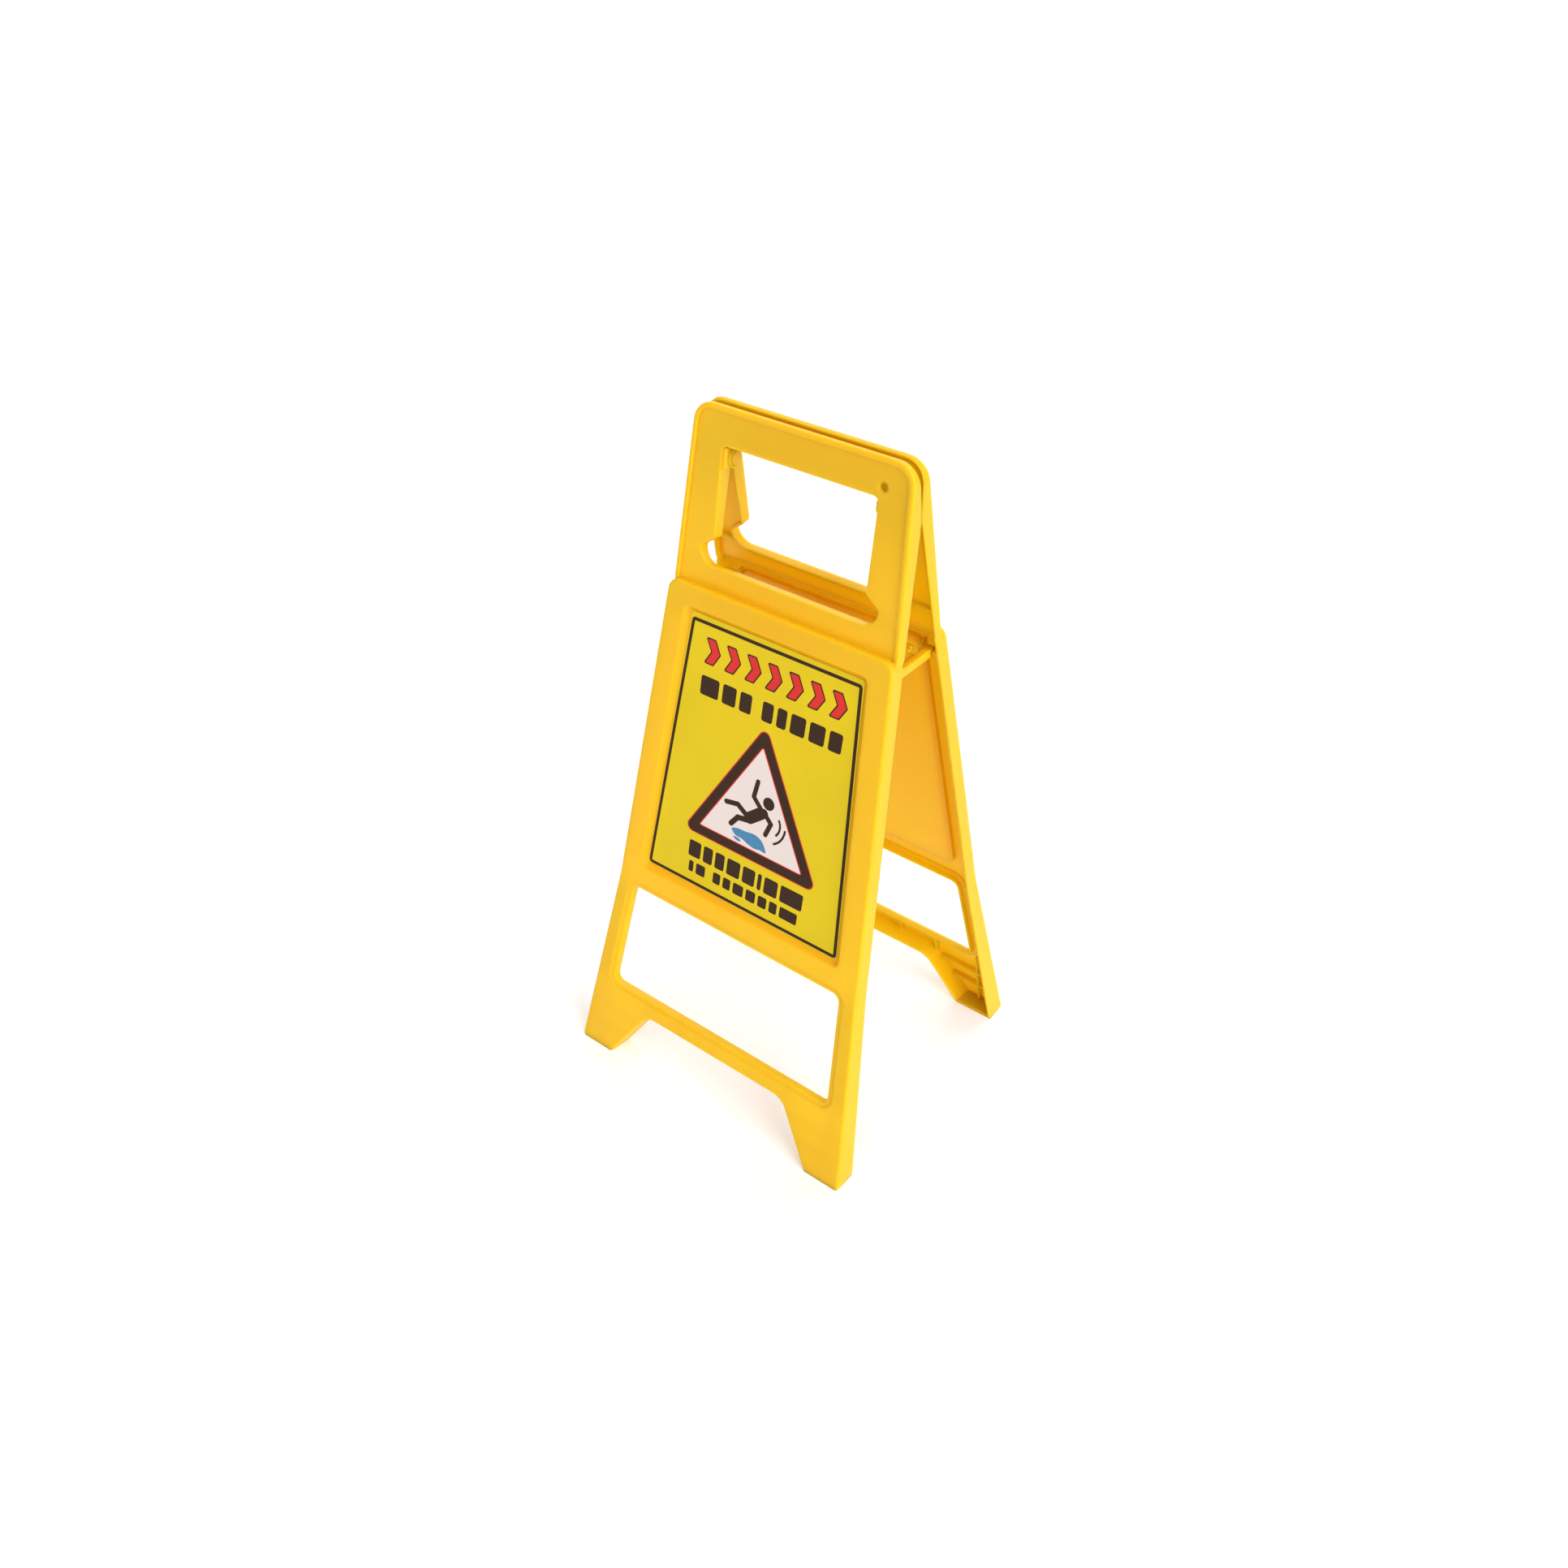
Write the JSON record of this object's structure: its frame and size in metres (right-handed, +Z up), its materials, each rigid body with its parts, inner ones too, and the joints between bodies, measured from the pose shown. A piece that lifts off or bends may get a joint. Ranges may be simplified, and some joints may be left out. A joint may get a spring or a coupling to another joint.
{
  "type": "wet floor sign",
  "caption": "Folding A-frame floor sign of two moulded panels with a carrying handle, a label face and a spreader.",
  "frame": {"origin": "on the floor, midway between the four feet of the open sign", "axes": "+Z up, -Y towards the front with the label, +X to the right seen from the front"},
  "size_m": [0.3002, 0.2792, 0.6104],
  "materials": {
    "panel_plastic": "semi-gloss",
    "label": "satin"
  },
  "bodies": {
    "front": {"front_panel": "panel_plastic", "front_label": "label", "right_hinge_pin": "panel_plastic"},
    "rear": {"rear_panel": "panel_plastic", "left_hinge_pin": "panel_plastic"},
    "spreader": {"spreader": "panel_plastic"}
  },
  "joints": [
    {"name": "fold", "type": "hinge", "parent": "front", "child": "rear", "pos_m": [0, 0, 0.5676], "axis": [-1, 0, 0], "range_deg": [0, 23.2]},
    {"name": "spreader_swing", "type": "hinge", "parent": "rear", "child": "spreader", "pos_m": [0, 0.02886, 0.44439], "axis": [1, 0, 0], "range_deg": [0, 101.6]}
  ],
  "couplings": [
    {"joint": "spreader_swing", "follows": "fold", "ratio": 4.3793}
  ]
}
